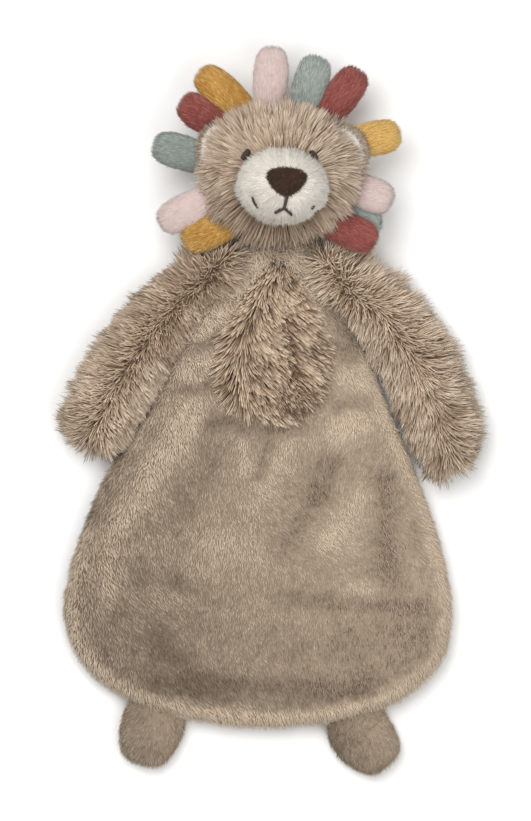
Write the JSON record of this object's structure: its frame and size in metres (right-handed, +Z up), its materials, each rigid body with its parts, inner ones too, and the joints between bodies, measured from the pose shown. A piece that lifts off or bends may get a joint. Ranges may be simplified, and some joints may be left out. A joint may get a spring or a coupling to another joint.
{
  "type": "plush lion comforter",
  "caption": "Flat-bodied soft lion with a stuffed head, a mane of coloured plush tabs, shaggy arms and a pear-shaped double cloth body, lying on its back",
  "frame": {"origin": "middle of the flat back, where it lies on the table", "axes": "+X towards the picture's right, +Y from hem to head, +Z up from the table, the way the face looks"},
  "size_m": [0.1382, 0.2477, 0.0553],
  "materials": {
    "short_pile": "matt short-pile plush, taupe, brushed in patches",
    "long_pile": "shaggy long-pile plush, taupe with paler tips",
    "cream_pile": "fine short plush, cream",
    "pink_pile": "short plush, pale pink",
    "teal_pile": "short plush, grey teal",
    "red_pile": "short plush, dusty red",
    "yellow_pile": "short plush, mustard",
    "fibre": "loose white filling fibre, not seen",
    "nose_satin": "satin stitch, dark brown, slight sheen",
    "brown_thread": "sewing thread, near-black brown"
  },
  "bodies": {
    "body": {"body_front_panel": "short_pile", "body_back_panel": "short_pile", "body_wadding": "fibre", "tummy_patch": "long_pile"},
    "neck": {"neck_gather": "short_pile"},
    "head": {"head_front_panel": "long_pile", "head_back_panel": "long_pile", "head_stuffing": "fibre", "muzzle_cover": "cream_pile", "muzzle_stuffing": "fibre", "nose": "nose_satin", "mouth_stitch": "brown_thread", "left_cheek_stitch": "brown_thread", "right_cheek_stitch": "brown_thread", "left_eye": "brown_thread", "right_eye": "brown_thread"},
    "left_ear": {"left_ear_outer": "long_pile", "left_ear_inner": "cream_pile"},
    "right_ear": {"right_ear_outer": "long_pile", "right_ear_inner": "cream_pile"},
    "tab_pink_top": {"mane_tab_pink_top": "pink_pile"},
    "tab_teal_top": {"mane_tab_teal_top": "teal_pile"},
    "tab_red_top": {"mane_tab_red_top": "red_pile"},
    "tab_yellow_right": {"mane_tab_yellow_right": "yellow_pile"},
    "tab_pink_right": {"mane_tab_pink_right": "pink_pile"},
    "tab_teal_right": {"mane_tab_teal_right": "teal_pile"},
    "tab_red_right": {"mane_tab_red_right": "red_pile"},
    "tab_yellow_left": {"mane_tab_yellow_left": "yellow_pile"},
    "tab_pink_left": {"mane_tab_pink_left": "pink_pile"},
    "tab_teal_left": {"mane_tab_teal_left": "teal_pile"},
    "tab_red_left": {"mane_tab_red_left": "red_pile"},
    "tab_yellow_top": {"mane_tab_yellow_top": "yellow_pile"},
    "left_shoulder": {"left_shoulder_gather": "short_pile"},
    "left_arm": {"left_arm_front": "long_pile", "left_arm_back": "long_pile", "left_arm_stuffing": "fibre"},
    "right_shoulder": {"right_shoulder_gather": "short_pile"},
    "right_arm": {"right_arm_front": "long_pile", "right_arm_back": "long_pile", "right_arm_stuffing": "fibre"},
    "left_foot": {"left_foot_front": "short_pile", "left_foot_back": "short_pile", "left_foot_wadding": "fibre"},
    "right_foot": {"right_foot_front": "short_pile", "right_foot_back": "short_pile", "right_foot_wadding": "fibre"}
  },
  "joints": [
    {"name": "neck_turn", "type": "hinge", "parent": "body", "child": "neck", "pos_m": [0, 0.0875, 0.01], "axis": [0, 1, 0], "range_deg": [-35, 35]},
    {"name": "neck_tilt", "type": "hinge", "parent": "neck", "child": "head", "pos_m": [0, 0.0875, 0.01], "axis": [-1, 0, 0], "range_deg": [-45, 12]},
    {"name": "left_ear_flop", "type": "hinge", "parent": "head", "child": "left_ear", "pos_m": [-0.02711, 0.11634, 0.0245], "axis": [0.3983, 0.9173, 0], "range_deg": [-10, 25], "stiffness_Nm_per_rad": 0.001},
    {"name": "right_ear_flop", "type": "hinge", "parent": "head", "child": "right_ear", "pos_m": [0.02711, 0.11634, 0.0245], "axis": [0.3983, -0.9173, 0], "range_deg": [-10, 25], "stiffness_Nm_per_rad": 0.001},
    {"name": "pink_top_flap", "type": "hinge", "parent": "head", "child": "tab_pink_top", "pos_m": [-0.00462, 0.13231, 0.019], "axis": [0.9998, -0.0175, 0], "range_deg": [-35, 35], "stiffness_Nm_per_rad": 0.001},
    {"name": "teal_top_flap", "type": "hinge", "parent": "head", "child": "tab_teal_top", "pos_m": [0.00754, 0.13181, 0.019], "axis": [0.9659, -0.2588, 0], "range_deg": [-35, 35], "stiffness_Nm_per_rad": 0.001},
    {"name": "red_top_flap", "type": "hinge", "parent": "head", "child": "tab_red_top", "pos_m": [0.0159, 0.12865, 0.019], "axis": [0.829, -0.5592, 0], "range_deg": [-35, 35], "stiffness_Nm_per_rad": 0.001},
    {"name": "yellow_right_flap", "type": "hinge", "parent": "head", "child": "tab_yellow_right", "pos_m": [0.02615, 0.11863, 0.019], "axis": [0.2079, -0.9781, 0], "range_deg": [-35, 5], "stiffness_Nm_per_rad": 0.001},
    {"name": "pink_right_flap", "type": "hinge", "parent": "head", "child": "tab_pink_right", "pos_m": [0.02857, 0.10329, 0.019], "axis": [-0.3584, -0.9336, 0], "range_deg": [0, 35], "stiffness_Nm_per_rad": 0.001},
    {"name": "teal_right_flap", "type": "hinge", "parent": "head", "child": "tab_teal_right", "pos_m": [0.02381, 0.09463, 0.01652], "axis": [-0.4848, -0.8746, 0], "range_deg": [-35, 0], "stiffness_Nm_per_rad": 0.001},
    {"name": "red_right_flap", "type": "hinge", "parent": "head", "child": "tab_red_right", "pos_m": [0.0195, 0.08994, 0.02171], "axis": [-0.3584, -0.9336, 0], "range_deg": [0, 35], "stiffness_Nm_per_rad": 0.001},
    {"name": "yellow_left_flap", "type": "hinge", "parent": "head", "child": "tab_yellow_left", "pos_m": [-0.0186, 0.08941, 0.019], "axis": [-0.4226, 0.9063, 0], "range_deg": [-35, 35], "stiffness_Nm_per_rad": 0.001},
    {"name": "pink_left_flap", "type": "hinge", "parent": "head", "child": "tab_pink_left", "pos_m": [-0.02589, 0.0967, 0.019], "axis": [-0.5, 0.866, 0], "range_deg": [-35, 35], "stiffness_Nm_per_rad": 0.001},
    {"name": "teal_left_flap", "type": "hinge", "parent": "head", "child": "tab_teal_left", "pos_m": [-0.02885, 0.11132, 0.019], "axis": [0.2588, 0.9659, 0], "range_deg": [-35, 5], "stiffness_Nm_per_rad": 0.001},
    {"name": "red_left_flap", "type": "hinge", "parent": "head", "child": "tab_red_left", "pos_m": [-0.02284, 0.12322, 0.019], "axis": [0.5, 0.866, 0], "range_deg": [-35, 5], "stiffness_Nm_per_rad": 0.001},
    {"name": "yellow_top_flap", "type": "hinge", "parent": "head", "child": "tab_yellow_top", "pos_m": [-0.01479, 0.129, 0.019], "axis": [0.6293, 0.7771, 0], "range_deg": [-35, 35], "stiffness_Nm_per_rad": 0.001},
    {"name": "left_arm_swing", "type": "hinge", "parent": "body", "child": "left_shoulder", "pos_m": [-0.02467, 0.06877, 0.0075], "axis": [0, 0, -1], "range_deg": [0, 60]},
    {"name": "left_arm_lift", "type": "hinge", "parent": "left_shoulder", "child": "left_arm", "pos_m": [-0.02467, 0.06877, 0.0075], "axis": [-0.8416, 0.54, 0], "range_deg": [0, 80]},
    {"name": "right_arm_swing", "type": "hinge", "parent": "body", "child": "right_shoulder", "pos_m": [0.02467, 0.06877, 0.0075], "axis": [0, 0, 1], "range_deg": [0, 60]},
    {"name": "right_arm_lift", "type": "hinge", "parent": "right_shoulder", "child": "right_arm", "pos_m": [0.02467, 0.06877, 0.0075], "axis": [-0.8416, -0.54, 0], "range_deg": [0, 80]},
    {"name": "left_foot_fold", "type": "hinge", "parent": "body", "child": "left_foot", "pos_m": [-0.03578, -0.08291, 0.004], "axis": [-0.9585, 0.2852, 0], "range_deg": [-25, 100]},
    {"name": "right_foot_fold", "type": "hinge", "parent": "body", "child": "right_foot", "pos_m": [0.03578, -0.08291, 0.004], "axis": [-0.9585, -0.2852, 0], "range_deg": [-25, 100]}
  ]
}
